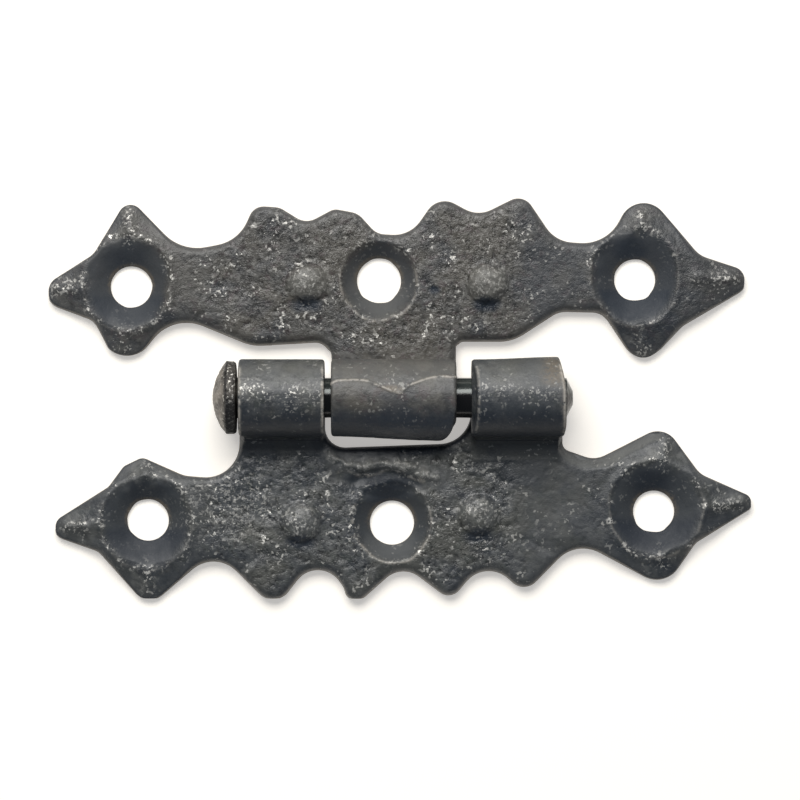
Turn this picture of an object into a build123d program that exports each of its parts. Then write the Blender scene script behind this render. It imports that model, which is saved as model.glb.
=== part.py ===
"""Star hinge: two hammered sheet-steel leaves with rolled knuckles, turning on one headed pin.

The hinge lies open, front faces up. X runs along the pin, +Y towards the leaf with one
knuckle, +Z out of the front. The back faces lie in the plane Z = 0, and the origin is in
that plane, under the middle of the barrel. All sizes are in millimetres.
"""
import math
import os
from typing import NamedTuple

from build123d import *

# Sheet, pin and barrel
SHEET = 1.8
EDGE_ROUND = 0.65
CORNER_MARGIN = 0.1
PIN_DIAMETER = 4.0
PIN_CLEARANCE = 0.05
SEAM_GAP = 0.25

# Knuckles along the barrel, from left to right
BARREL_LEFT = -16.05
LEFT_KNUCKLE = 8.55
LEFT_GAP = 0.65
MIDDLE_KNUCKLE = 12.45
RIGHT_GAP = 1.5
RIGHT_KNUCKLE = 9.15
KNUCKLE_EDGE = 0.3
KNUCKLE_CORNER = 1.7

# Pin head and tail
HEAD_STEP = 0.15
HEAD_RIM = 1.0
HEAD_CROWN = 1.45
HEAD_GAP = 0.2
HEAD_EDGE = 0.2
TAIL_REACH = 0.3
TAIL_POINT = 0.65
TAIL_FLAT = 1.4

# Countersunk screw holes
STAR_HOLE = 4.1
MIDDLE_HOLE = 4.4
COUNTERSINK = 7.8
HOLE_LAND = 0.4

# Nail-head bumps, pressed out of the sheet from behind
BUMP_DIAMETER = 4.3
BUMP_HEIGHT = 0.8
BUMP_HOLLOW_DIAMETER = 3.0
BUMP_HOLLOW_DEPTH = 0.7

# Star points are hammered thinner towards their tips
TIP_DRAW = 0.6

# Room around the barrel
SLOT_FLOOR_GAP = 1.2
SLOT_FLOOR_RISE = 0.55
SLOT_LEFT_ROUND = 2.0
SLOT_RIGHT_ROUND = 3.2
NOTCH_GAP = 1.95
NOTCH_LEFT_ROUND = 1.6
NOTCH_RIGHT_ROUND = 0.7

# Star holes, from the nearer end of the barrel
UPPER_LEFT_REACH = 10.85
UPPER_RIGHT_REACH = 7.25
LOWER_LEFT_REACH = 9.15
LOWER_RIGHT_REACH = 9.15

# Derived sizes of the barrel
BORE_RADIUS = PIN_DIAMETER / 2 + PIN_CLEARANCE
BARREL_RADIUS = BORE_RADIUS + SHEET
AXIS_HEIGHT = BARREL_RADIUS
HEAD_RADIUS = BARREL_RADIUS - HEAD_STEP
SMALLEST_CORNER = EDGE_ROUND + CORNER_MARGIN
LEFT_KNUCKLE_END = BARREL_LEFT + LEFT_KNUCKLE
MIDDLE_LEFT = LEFT_KNUCKLE_END + LEFT_GAP
MIDDLE_RIGHT = MIDDLE_LEFT + MIDDLE_KNUCKLE
RIGHT_KNUCKLE_START = MIDDLE_RIGHT + RIGHT_GAP
BARREL_RIGHT = RIGHT_KNUCKLE_START + RIGHT_KNUCKLE
NOTCH = BARREL_RADIUS + NOTCH_GAP
SLOT_FLOOR = BARREL_RADIUS + SLOT_FLOOR_GAP
SLOT_RIGHT_FLOOR = SLOT_FLOOR - SLOT_FLOOR_RISE


class Corner(NamedTuple):
    """A corner of a leaf's outline, and the radius that rounds it."""

    x: float
    y: float
    r: float


class Star(NamedTuple):
    """A star end: its screw hole, and its corners measured from that hole.

    The corners run clockwise, seen from the front. Hollows and points take turns, and the
    first and last corners are the hollows where the star joins the waist of the leaf.
    """

    hole: tuple
    corners: list

    def placed(self):
        """The corners in the hinge's own frame."""
        return [Corner(self.hole[0] + c.x, self.hole[1] + c.y, c.r) for c in self.corners]


# Leaf with one knuckle, on the +Y side
UPPER_LEFT_STAR = Star(
    hole=(BARREL_LEFT - UPPER_LEFT_REACH, 11.1),
    corners=[
        Corner(4.2, -2.5, 4.4),
        Corner(-0.85, -8.6, 2.15),
        Corner(-3.65, -3.25, 1.65),
        Corner(-10.2, -0.8, 1.55),
        Corner(-3.75, 3.25, 2.5),
        Corner(-0.3, 9.0, 1.25),
        Corner(5.05, 3.5, 4.65),
    ],
)
UPPER_RIGHT_STAR = Star(
    hole=(BARREL_RIGHT + UPPER_RIGHT_REACH, 11.8),
    corners=[
        Corner(-2.8, 3.5, 4.15),
        Corner(0.4, 9.6, 2.45),
        Corner(6.45, 2.45, 2.7),
        Corner(12.9, 0.35, 1.35),
        Corner(4.65, -4.5, 2.65),
        Corner(0.65, -8.75, 1.6),
        Corner(-3.15, -3.1, 2.05),
    ],
)
UPPER_MIDDLE_HOLE = (-2.1, 11.7)
UPPER_BUMPS = [(-9.3, 11.5), (8.7, 11.4)]
UPPER_WAVES = [
    Corner(-16.15, 15.7, 4.05),
    Corner(-14.6, 19.2, 1.5),
    Corner(-12.05, 19.05, 1.8),
    Corner(-9.4, 17.4, 1.9),
    Corner(-6.6, 18.9, 1.3),
    Corner(-4.2, 18.45, 1.9),
    Corner(-2.35, 16.4, 1.85),
    Corner(1.0, 16.2, 3.2),
    Corner(3.85, 20.3, 2.05),
    Corner(7.8, 18.15, 2.85),
    Corner(12.35, 20.4, 1.6),
    Corner(15.55, 15.65, 3.35),
]
UPPER_RIGHT_BELLY = [Corner(15.85, 8.8, 2.5), Corner(11.2, NOTCH, 4.2)]
BELLY_SAG = 0.45
UPPER_LEFT_BELLY = [Corner(-14.8, NOTCH - BELLY_SAG, 4.4)]

# Leaf with two knuckles, on the -Y side
LOWER_LEFT_STAR = Star(
    hole=(BARREL_LEFT - LOWER_LEFT_REACH, -12.25),
    corners=[
        Corner(6.7, -2.75, 3.4),
        Corner(0.0, -8.45, 1.7),
        Corner(-4.9, -3.0, 1.65),
        Corner(-10.75, -0.95, 1.15),
        Corner(-3.95, 3.35, 1.0),
        Corner(-0.6, 6.3, 0.95),
        Corner(3.6, 4.45, 3.2),
    ],
)
LOWER_LEFT_SHOULDER = Corner(-2.45, 5.4, 0.9)
LOWER_RIGHT_STAR = Star(
    hole=(BARREL_RIGHT + LOWER_RIGHT_REACH, -11.35),
    corners=[
        Corner(-5.85, 5.1, 2.5),
        Corner(1.05, 8.6, 2.15),
        Corner(4.6, 3.75, 2.4),
        Corner(10.7, 1.05, 0.85),
        Corner(4.1, -3.05, 1.8),
        Corner(1.05, -7.4, 2.4),
        Corner(-7.75, -2.7, 3.65),
    ],
)
LOWER_MIDDLE_HOLE = (-0.8, -12.5)
LOWER_BUMPS = [(-9.9, -12.4), (7.9, -11.7)]
LOWER_WAVES = [
    Corner(12.45, -19.35, 1.5),
    Corner(8.6, -15.75, 3.1),
    Corner(5.05, -20.05, 1.2),
    Corner(0.2, -16.4, 2.75),
    Corner(-4.8, -20.85, 1.1),
    Corner(-7.45, -14.3, 2.8),
    Corner(-12.55, -20.9, 1.75),
]
LOWER_LEFT_NECK = -8.25
LOWER_LEFT_NECK_ROUND = 3.4
LOWER_RIGHT_NECK = -5.1
LOWER_RIGHT_NECK_ROUND = 0.9


def blank(corners):
    """A flat leaf cut to an outline, with the edges of its front face rounded."""
    radii = [max(c.r, SMALLEST_CORNER) if c.r else 0 for c in corners]
    rim = FilletPolyline(*[(c.x, c.y) for c in corners], radius=radii, close=True)
    plate = extrude(make_face(rim), SHEET)
    front_edges = plate.faces().sort_by(Axis.Z)[-1].edges()
    under_the_roll = [e for e in front_edges if abs(e.center().Y) < SHEET]
    return fillet([e for e in front_edges if e not in under_the_roll], EDGE_ROUND)


def roll(left, right, side):
    """One knuckle, rolled from the sheet. side is +1 or -1, the way to its leaf along Y.

    The sheet runs under the pin, round the far side and over the top, and its free end
    comes down on the front of the leaf, a seam's gap away.
    """
    drop = BARREL_RADIUS - SHEET - SEAM_GAP
    end_angle = math.asin(drop / BARREL_RADIUS)
    reach = 2 * BARREL_RADIUS
    mouth = Polyline(
        (0, 0),
        (0, -reach),
        (side * reach, -reach),
        (side * reach * math.cos(end_angle), -reach * math.sin(end_angle)),
        close=True,
    )
    section = Circle(BARREL_RADIUS) - Circle(BORE_RADIUS) - make_face(mouth)
    across = Plane(origin=(left, 0, AXIS_HEIGHT), x_dir=(0, 1, 0), z_dir=(1, 0, 0))
    knuckle = extrude(across * section, right - left)
    rims = [e for e in knuckle.edges().filter_by(GeomType.CIRCLE) if e.radius > BORE_RADIUS + SHEET / 2]
    return fillet(rims, KNUCKLE_EDGE)


def knuckle_corner():
    """The corner worn off the far right end of the middle knuckle, rounded in plan."""
    inside = Pos(MIDDLE_RIGHT - KNUCKLE_CORNER, KNUCKLE_CORNER - BARREL_RADIUS, AXIS_HEIGHT)
    block = Box(
        2 * KNUCKLE_CORNER,
        2 * KNUCKLE_CORNER,
        3 * BARREL_RADIUS,
        align=(Align.MIN, Align.MAX, Align.CENTER),
    )
    return inside * (block - Cylinder(KNUCKLE_CORNER, 4 * BARREL_RADIUS))


def screw_hole(at, diameter):
    """The space of a countersunk hole: a short round land at the back, then a wide cone."""
    standing = (Align.CENTER, Align.CENTER, Align.MIN)
    land = Cylinder(diameter / 2, SHEET, align=standing)
    cone = Cone(diameter / 2, COUNTERSINK / 2, SHEET - HOLE_LAND, align=standing)
    return Pos(*at, 0) * (land + Pos(0, 0, HOLE_LAND) * cone)


def dome_middle(half, height):
    """The point halfway down a round dome, as its distance from the axis and its height."""
    radius = (half**2 + height**2) / (2 * height)
    angle = math.asin(half / radius) / 2
    return radius * math.sin(angle), height - radius + radius * math.cos(angle)


def cap(diameter, height):
    """A low round dome standing on the plane Z = 0."""
    half = diameter / 2
    profile = Curve() + [
        Line((0, 0), (half, 0)),
        ThreePointArc((half, 0), dome_middle(half, height), (0, height)),
        Line((0, height), (0, 0)),
    ]
    return revolve(Plane.XZ * make_face(profile), Axis.Z)


def star_tip(hollow, tip, next_hollow):
    """The wedge hammered off a star point: nothing at its two hollows, most at its tip."""
    middle = Vector((hollow.x + next_hollow.x) / 2, (hollow.y + next_hollow.y) / 2, SHEET)
    end = Vector(tip.x, tip.y, SHEET - TIP_DRAW)
    slope = Face(
        Wire.make_polygon(
            [
                middle + (Vector(hollow.x, hollow.y, SHEET) - middle) * 2,
                end + (end - middle),
                middle + (Vector(next_hollow.x, next_hollow.y, SHEET) - middle) * 2,
            ]
        )
    )
    return extrude(slope, SHEET, dir=(0, 0, 1))


def finish_leaf(plate, stars, middle_hole, bumps):
    """Draws out the star points, raises the bumps and opens the screw holes."""
    for star in stars:
        corners = star.placed()
        for i in range(1, len(corners) - 1, 2):
            plate -= star_tip(corners[i - 1], corners[i], corners[i + 1])
    for at in bumps:
        plate += Pos(*at, SHEET) * cap(BUMP_DIAMETER, BUMP_HEIGHT)
        plate -= Pos(*at, 0) * cap(BUMP_HOLLOW_DIAMETER, BUMP_HOLLOW_DEPTH)
    for star in stars:
        plate -= screw_hole(star.hole, STAR_HOLE)
    return plate - screw_hole(middle_hole, MIDDLE_HOLE)


def upper_leaf():
    """The leaf with the one middle knuckle."""
    corners = [
        *UPPER_LEFT_STAR.placed(),
        *UPPER_WAVES,
        *UPPER_RIGHT_STAR.placed(),
        *UPPER_RIGHT_BELLY,
        Corner(MIDDLE_RIGHT, NOTCH, NOTCH_RIGHT_ROUND),
        Corner(MIDDLE_RIGHT, 0, 0),
        Corner(MIDDLE_LEFT, 0, 0),
        Corner(MIDDLE_LEFT, NOTCH, NOTCH_LEFT_ROUND),
        *UPPER_LEFT_BELLY,
    ]
    plate = finish_leaf(
        blank(corners), [UPPER_LEFT_STAR, UPPER_RIGHT_STAR], UPPER_MIDDLE_HOLE, UPPER_BUMPS
    )
    return plate + (roll(MIDDLE_LEFT, MIDDLE_RIGHT, 1) - knuckle_corner())


def lower_leaf():
    """The leaf with the two outer knuckles."""
    left_star = LOWER_LEFT_STAR.placed()
    left_star[5:5] = Star(LOWER_LEFT_STAR.hole, [LOWER_LEFT_SHOULDER]).placed()
    corners = [
        *left_star,
        Corner(BARREL_LEFT, LOWER_LEFT_NECK, LOWER_LEFT_NECK_ROUND),
        Corner(BARREL_LEFT, 0, 0),
        Corner(LEFT_KNUCKLE_END, 0, 0),
        Corner(LEFT_KNUCKLE_END, -SLOT_FLOOR, SLOT_LEFT_ROUND),
        Corner(RIGHT_KNUCKLE_START, -SLOT_RIGHT_FLOOR, SLOT_RIGHT_ROUND),
        Corner(RIGHT_KNUCKLE_START, 0, 0),
        Corner(BARREL_RIGHT, 0, 0),
        Corner(BARREL_RIGHT, LOWER_RIGHT_NECK, LOWER_RIGHT_NECK_ROUND),
        *LOWER_RIGHT_STAR.placed(),
        *LOWER_WAVES,
    ]
    plate = finish_leaf(
        blank(corners), [LOWER_LEFT_STAR, LOWER_RIGHT_STAR], LOWER_MIDDLE_HOLE, LOWER_BUMPS
    )
    for left, right in ((BARREL_LEFT, LEFT_KNUCKLE_END), (RIGHT_KNUCKLE_START, BARREL_RIGHT)):
        plate += roll(left, right, -1)
    return plate


def hinge_pin():
    """The pin: a round shank with a domed head on the left and a blunt point on the right."""
    shank = PIN_DIAMETER / 2
    head = HEAD_RADIUS
    under_head = BARREL_LEFT - HEAD_GAP
    rim = under_head - HEAD_RIM
    crown = rim - HEAD_CROWN
    tail = BARREL_RIGHT + TAIL_REACH
    dome_out, dome_up = dome_middle(head, HEAD_CROWN)
    profile = Curve() + [
        Line((crown, 0), (tail + TAIL_POINT, 0)),
        Line((tail + TAIL_POINT, 0), (tail + TAIL_POINT, TAIL_FLAT / 2)),
        Line((tail + TAIL_POINT, TAIL_FLAT / 2), (tail, shank)),
        Line((tail, shank), (under_head, shank)),
        Line((under_head, shank), (under_head, head - HEAD_EDGE)),
        Line((under_head, head - HEAD_EDGE), (under_head - HEAD_EDGE, head)),
        Line((under_head - HEAD_EDGE, head), (rim, head)),
        ThreePointArc((rim, head), (rim - dome_up, dome_out), (crown, 0)),
    ]
    pin = revolve(Plane.XZ * make_face(profile), Axis.X)
    return Pos(0, 0, AXIS_HEIGHT) * pin


def main():
    """Builds the three pieces and writes each to its own file."""
    os.makedirs("parts", exist_ok=True)
    pieces = {"one_knuckle_leaf": upper_leaf(), "two_knuckle_leaf": lower_leaf(), "hinge_pin": hinge_pin()}
    for name, piece in pieces.items():
        export_step(piece, f"parts/{name}.step")
        print(name, len(piece.solids()), "solid", round(piece.volume, 1), "mm3", piece.bounding_box())


if __name__ == "__main__":
    main()
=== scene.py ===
"""Dresses the star hinge: two hammered black-iron leaves and the headed pin they turn on.

Everything is in metres, in the hinge's own frame: +X along the pin, +Y towards the leaf
with one knuckle, +Z out of the front faces. The sizes and places that the classes keep are
in millimetres unless they say metres, and their turns are in degrees.
"""
import logging
import math
from dataclasses import dataclass, field
from enum import Enum
from typing import Any, Optional, Sequence, Union

import bpy
import numpy as np
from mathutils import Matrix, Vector, kdtree, noise


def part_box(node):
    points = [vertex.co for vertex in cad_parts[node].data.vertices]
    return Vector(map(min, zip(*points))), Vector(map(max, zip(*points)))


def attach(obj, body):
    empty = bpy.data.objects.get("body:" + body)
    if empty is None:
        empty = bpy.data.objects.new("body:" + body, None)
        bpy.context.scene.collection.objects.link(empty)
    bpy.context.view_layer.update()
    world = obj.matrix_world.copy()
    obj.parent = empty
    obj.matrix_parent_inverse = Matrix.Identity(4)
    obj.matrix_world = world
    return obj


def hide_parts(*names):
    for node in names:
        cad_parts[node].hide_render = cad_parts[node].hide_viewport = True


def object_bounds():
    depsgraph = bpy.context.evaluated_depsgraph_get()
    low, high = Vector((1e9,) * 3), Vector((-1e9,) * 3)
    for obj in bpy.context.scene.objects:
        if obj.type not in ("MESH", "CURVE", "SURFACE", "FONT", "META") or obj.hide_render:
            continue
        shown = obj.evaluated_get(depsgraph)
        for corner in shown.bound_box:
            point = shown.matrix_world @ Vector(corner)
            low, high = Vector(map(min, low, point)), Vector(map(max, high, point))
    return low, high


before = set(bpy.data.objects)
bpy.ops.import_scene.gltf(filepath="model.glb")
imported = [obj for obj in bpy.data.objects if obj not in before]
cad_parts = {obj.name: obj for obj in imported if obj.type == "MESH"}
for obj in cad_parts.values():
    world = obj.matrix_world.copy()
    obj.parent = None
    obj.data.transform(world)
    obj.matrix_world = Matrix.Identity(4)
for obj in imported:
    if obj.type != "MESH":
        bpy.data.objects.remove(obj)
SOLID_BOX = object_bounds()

Colour = tuple[float, float, float]
Place = tuple[float, float]
Span = tuple[float, float]

MM: float = 0.001  # metres in a millimetre
HAIR: float = 0.003  # how far a piece's points stay inside their box
MERGE: float = 0.002  # points of a solid that are nearer than this are one
ROLL_TURN: float = 297.9  # how far the sheet is rolled round the pin
STAR_START: Span = (17.5, 20.5)  # |X| over which the plate turns into a star
KNUCKLE_START: Span = (6.4, 8.2)  # |X| over which the outer knuckles start
KNUCKLE_END: Span = (17.0, 15.8)  # |X| over which they end
SLOT_END: Span = (8.4, 7.4)  # |X| over which the slot between them ends
SLOT_EDGE: Span = (-6.6, -5.8)  # Y over which the slot's black edge starts
SLOPING_FROM: Span = (4.0, 5.2)  # |Y| over which the cut edges start to slope
EDGE_REACH: float = 0.55  # how far in the cut edges' wear fades
LUMP_FALL: float = 0.7  # how fast the finer lumps get weaker
LUMP_STEP: float = 2.1  # how many times smaller each layer of lumps is
log = logging.getLogger("star_hinge")


class Mark(Enum):
    """Names of the values that a worked mesh keeps at each of its points."""

    WEAR = "wear"
    LINE = "line"
    BOWL = "bowl"
    # painted shade and shadow, with a few real dark patches: how much a point is darkened
    SHADE_AND_SOOT = "soot"
    # brown: patches and hole lips, and a painted reflection of the warm floor on the cut walls
    RUST_AND_REFLECTION = "rust"
    RELIEF = "relief"
    EDGE = "edge"
    CALM = "calm"
    # paler colour: dusty scale, and painted highlight on the bumps' tops and the barrels' +Y sides
    DUST_AND_HIGHLIGHT = "pale"


class Lumps(Enum):
    """Lumpy patterns of the meshes: size of the largest, layers and an offset."""

    UNEVEN = (1.6, 1, 31.0)
    KNOTS = (0.9, 2, 61.0)
    BROAD = (3.4, 2, 0.0)
    COARSE = (1.2, 3, 11.0)
    FINE = (0.45, 2, 23.0)
    PITS = (0.8, 2, 53.0)
    PIN_COARSE = (1.3, 3, 41.0)
    PIN_FINE = (0.4, 2, 47.0)


class Clouds(Enum):
    """Cloudy patterns of the finishes: clouds to a millimetre, finer layers, their strength."""

    BROAD = (0.19, 3.0, 0.6)
    PATCH = (0.8, 4.0, 0.62)
    FLAKES = (1.9, 3.0, 0.55)
    GRAIN = (3.2, 3.0, 0.6)
    FINE = (7.0, 2.0, 0.55)
    PITS = (2.5, 2.0, 0.55)
    STAINS = (1.1, 2.0, 0.55)
    GATHERED = (0.45, 2.0, 0.5)
    SPOTS = (2.6, 1.0, 0.5)
    WORN = (3.0, 2.0, 0.6)
    BROKEN_LINE = (1.4, 2.0, 0.6)
    PIN_GRAIN = (2.8, 4.0, 0.62)
    PIN_PATCH = (0.8, 3.0, 0.6)
    PIN_SPOTS = (3.6, 2.0, 0.55)


class Term:
    """A value on a shader sheet, with the usual arithmetic."""

    def __init__(self, sheet: "ShaderSheet", socket: bpy.types.NodeSocket) -> None:
        """Keeps the sheet that the value is on, and the socket that gives it."""
        self.sheet = sheet
        self.socket = socket

    def __add__(self, other: "Operand") -> "Term":
        """This value plus another."""
        return self.sheet.math("ADD", self, other)

    def __radd__(self, other: "Operand") -> "Term":
        """Another value plus this one."""
        return self.sheet.math("ADD", other, self)

    def __sub__(self, other: "Operand") -> "Term":
        """This value less another."""
        return self.sheet.math("SUBTRACT", self, other)

    def __rsub__(self, other: "Operand") -> "Term":
        """Another value less this one."""
        return self.sheet.math("SUBTRACT", other, self)

    def __mul__(self, other: "Operand") -> "Term":
        """This value times another."""
        return self.sheet.math("MULTIPLY", self, other)

    def __rmul__(self, other: "Operand") -> "Term":
        """Another value times this one."""
        return self.sheet.math("MULTIPLY", other, self)

    def at_most(self, other: "Operand") -> "Term":
        """The smaller of this value and another."""
        return self.sheet.math("MINIMUM", self, other)

    def at_least(self, other: "Operand") -> "Term":
        """The larger of this value and another."""
        return self.sheet.math("MAXIMUM", self, other)

    def between(self, low: float, high: float) -> "Term":
        """A smooth step: 0 up to low, 1 from high on.

        Args:
            low: where the step starts.
            high: where it ends.

        Returns:
            The stepped value.
        """
        return self.sheet.node(
            "ShaderNodeMapRange",
            {"interpolation_type": "SMOOTHSTEP", "clamp": True},
            {"Value": self, "From Min": low, "From Max": high, "To Min": 0.0, "To Max": 1.0},
        )


Operand = Union[Term, int, float]


class ShaderSheet:
    """The node sheet of one material."""

    def __init__(self, name: str) -> None:
        """Starts a material with nothing but its output and a principled shader.

        Args:
            name: the material's name.
        """
        self.material = bpy.data.materials.new(name)
        self.material.use_nodes = True
        self.tree = self.material.node_tree
        self.tree.nodes.clear()
        self.output = self.tree.nodes.new("ShaderNodeOutputMaterial")
        self.shader = self.tree.nodes.new("ShaderNodeBsdfPrincipled")
        self.tree.links.new(self.shader.outputs["BSDF"], self.output.inputs["Surface"])

    def node(
        self,
        kind: str,
        settings: dict[str, Any],
        inputs: dict[Union[str, int], Any],
        output: Union[str, int] = 0,
    ) -> Term:
        """Adds a node.

        Args:
            kind: the node's type.
            settings: its own settings, set first.
            inputs: values or terms for its sockets.
            output: which of its outputs to return.

        Returns:
            The node's output as a term.
        """
        made = self.tree.nodes.new(kind)
        for key, value in settings.items():
            setattr(made, key, value)
        for key, value in inputs.items():
            self.feed(made.inputs[key], value)
        return Term(self, made.outputs[output])

    def feed(self, socket: bpy.types.NodeSocket, value: Any) -> None:
        """Links a term to a socket, or sets the socket's own value.

        Args:
            socket: the socket.
            value: a term, a number, a vector or a colour without its alpha.
        """
        if isinstance(value, Term):
            self.tree.links.new(value.socket, socket)
        elif isinstance(value, tuple) and len(value) == 3 and socket.type == "RGBA":
            socket.default_value = (*value, 1.0)
        else:
            socket.default_value = value

    def math(self, operation: str, a: Operand, b: Operand) -> Term:
        """One step of arithmetic on numbers."""
        return self.node("ShaderNodeMath", {"operation": operation}, {0: a, 1: b})

    def mix(self, share: Operand, a: Union[Term, Colour], b: Union[Term, Colour]) -> Term:
        """Mixes two colours.

        Args:
            share: how much of the second colour, from 0 to 1.
            a: the first colour.
            b: the second colour.

        Returns:
            The mixed colour.
        """
        settings = {"data_type": "RGBA", "blend_type": "MIX", "clamp_factor": True}
        return self.node("ShaderNodeMix", settings, {0: share, 6: a, 7: b}, 2)

    def shade(self, colour: Union[Term, Colour], share: Operand) -> Term:
        """A colour times a number."""
        return self.node(
            "ShaderNodeVectorMath", {"operation": "SCALE"}, {0: colour, "Scale": share}
        )

    def millimetres(self) -> Term:
        """The point on the piece, in millimetres."""
        point = self.node("ShaderNodeTexCoord", {}, {}, "Object")
        inputs = {"Vector": point, "Scale": (1.0 / MM,) * 3}
        return self.node("ShaderNodeMapping", {"vector_type": "POINT"}, inputs)

    def mark(self, mark: Mark) -> Term:
        """A value that the mesh keeps at its points."""
        return self.node("ShaderNodeAttribute", {"attribute_name": mark.value}, {}, "Fac")

    def noise(self, point: Term, clouds: Clouds) -> Term:
        """Cloudy noise.

        Args:
            point: the point on the piece, in millimetres.
            clouds: which pattern.

        Returns:
            A number around 0.5.
        """
        per_mm, detail, rough = clouds.value
        return self.node(
            "ShaderNodeTexNoise",
            {"noise_dimensions": "3D"},
            {"Vector": point, "Scale": per_mm, "Detail": detail, "Roughness": rough},
        )

    def finish(
        self,
        colour: Union[Term, Colour],
        rough: Operand,
        metal: Operand,
        height: Term,
        depth: float,
    ) -> bpy.types.Material:
        """Feeds the shader.

        Args:
            colour: base colour.
            rough: roughness.
            metal: how metallic.
            height: surface height for the bump, in parts of depth.
            depth: metres that a height of 1 stands for.

        Returns:
            The material.
        """
        bump = {"Height": height, "Strength": 1.0, "Distance": depth}
        bumped = self.node("ShaderNodeBump", {}, bump)
        surface = {"Base Color": colour, "Roughness": rough, "Metallic": metal, "Normal": bumped}
        for name, value in surface.items():
            self.feed(self.shader.inputs[name], value)
        return self.material


@dataclass(frozen=True)
class BlackIron:
    """Blackened iron scale: dark and pitted, mottled brown and blue, bare in flecks.

    Attributes:
        name: the finish's name.
        ground: colour of the black scale.
        pale: colour of the thinner, greyer scale.
        brown: colour where the scale is faintly rusty.
        blue: colour of the bluest scale.
        stain: colour of the small stains.
        smooth: colour of the smooth oxide in the bowls.
        edge: colour of the rounded edges, paler than the plate as a painted highlight.
        dust_and_highlight: colour of the palest, dustiest scale, and of the painted highlight on
            the bumps' tops and the barrels' +Y sides.
        soot: colour of painted shade and shadow on the barrels' shaded sides, under the barrels,
            bumps and slot and in the bowls, and of a few real dark patches.
        rust: brown along the cut walls as a painted reflection of the warm floor, and on the holes'
            upper lips and in patches on the barrels.
        rubbed_and_sheen: colour of the bright lines, partly worn metal and partly painted
            highlight.
        bare: colour of the bare flecks.
        bowl_shade_and_soot: colour of the painted shade and other darkening inside the bowls.
        flecks: how many of the high spots are bare, from 0 to 1.
        rough: roughness of the scale.
        ior: refraction of the scale, which sets its sheen.
        relief: how deep its finest grain is.
    """

    name: str
    ground: Colour
    pale: Colour
    brown: Colour
    blue: Colour
    stain: Colour
    smooth: Colour
    edge: Colour
    dust_and_highlight: Colour
    soot: Colour
    rust: Colour = (0.150, 0.122, 0.088)
    rubbed_and_sheen: Colour = (0.60, 0.55, 0.48)
    bare: Colour = (0.74, 0.72, 0.67)
    bowl_shade_and_soot: Colour = (0.015, 0.0185, 0.020)
    flecks: float = 0.8
    rough: float = 0.42
    ior: float = 1.62
    relief: float = 1.0

    def build(self) -> bpy.types.Material:
        """Makes the material.

        Returns:
            The material.
        """
        s = ShaderSheet(self.name)
        at = s.millimetres()
        marks = {mark: s.mark(mark) for mark in Mark}
        bowl, edge = marks[Mark.BOWL], marks[Mark.EDGE]
        wear, soot = marks[Mark.WEAR], marks[Mark.SHADE_AND_SOOT]
        calm = (bowl + edge * 0.75).at_least(marks[Mark.CALM]).at_most(1.0)
        rugged = 1.0 - calm * 0.85
        broad = s.noise(at, Clouds.BROAD)
        patch = s.noise(at, Clouds.PATCH)
        flakes = s.noise(at, Clouds.FLAKES).between(0.47, 0.54)
        grain = s.noise(at, Clouds.GRAIN)
        fine = s.noise(at, Clouds.FINE)
        pits = s.noise(at, Clouds.PITS).between(0.42, 0.36) * rugged
        tone = patch.between(0.38, 0.64) * 0.5 + flakes * (0.12 + rugged * 0.2)
        tone = tone + fine.between(0.35, 0.65) * 0.2
        colour = s.mix(tone, self.ground, self.pale)
        colour = s.mix(broad.between(0.47, 0.62) * 0.7, colour, self.brown)
        colour = s.mix(broad.between(0.5, 0.38) * 0.6, colour, self.blue)
        stains = s.noise(at, Clouds.STAINS).between(0.56, 0.64)
        colour = s.mix(stains * 0.45, colour, self.stain)
        colour = s.mix(bowl * 0.85, colour, self.smooth)
        colour = s.mix(marks[Mark.DUST_AND_HIGHLIGHT] * (0.6 + patch * 0.6), colour, self.dust_and_highlight)
        # painted highlight: the rounded edges are painted paler
        colour = s.mix(edge * 0.6, colour, self.edge)
        sunk = (pits + marks[Mark.RELIEF].between(0.4, 0.15)).at_most(1.0) * rugged
        colour = s.mix(sunk * 0.8, colour, s.shade(colour, 0.28))
        colour = s.mix(marks[Mark.RUST_AND_REFLECTION] * grain.between(0.3, 0.55), colour, self.rust)
        # painted shade: where the soot mark is set the colour goes dark, to bowl_shade_and_soot
        # inside the bowls
        colour = s.mix(soot, colour, s.mix(bowl * (1.0 - calm), self.soot, self.bowl_shade_and_soot))
        gathered = s.noise(at, Clouds.GATHERED).between(0.48, 0.64) * 0.75
        gathered = (gathered + wear).at_most(1.0)
        scarce = 0.66 - 0.06 * self.flecks
        spots = s.noise(at, Clouds.SPOTS).between(scarce, scarce + 0.04)
        worn = s.noise(at, Clouds.WORN).between(0.56, 0.61) * wear
        line = marks[Mark.LINE] * s.noise(at, Clouds.BROKEN_LINE).between(0.36, 0.56)
        bare = ((spots * gathered * rugged + worn) * (1.0 - soot * 0.7)).at_most(1.0)
        colour = s.mix(line * 0.8, colour, self.rubbed_and_sheen)
        colour = s.mix(bare, colour, self.bare)
        rough = self.rough + (patch - 0.5) * 0.35 - bare * 0.1 + calm * 0.16 + bowl * 0.1
        rough = rough.at_least(0.22)
        height = grain * 0.06 + fine * 0.038 + flakes * 0.02 - pits * 0.03 + bare * 0.02
        height = height * rugged * self.relief + patch * 0.05
        s.shader.inputs["IOR"].default_value = self.ior
        return s.finish(colour, rough, bare * 0.4, height, MM)


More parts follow.
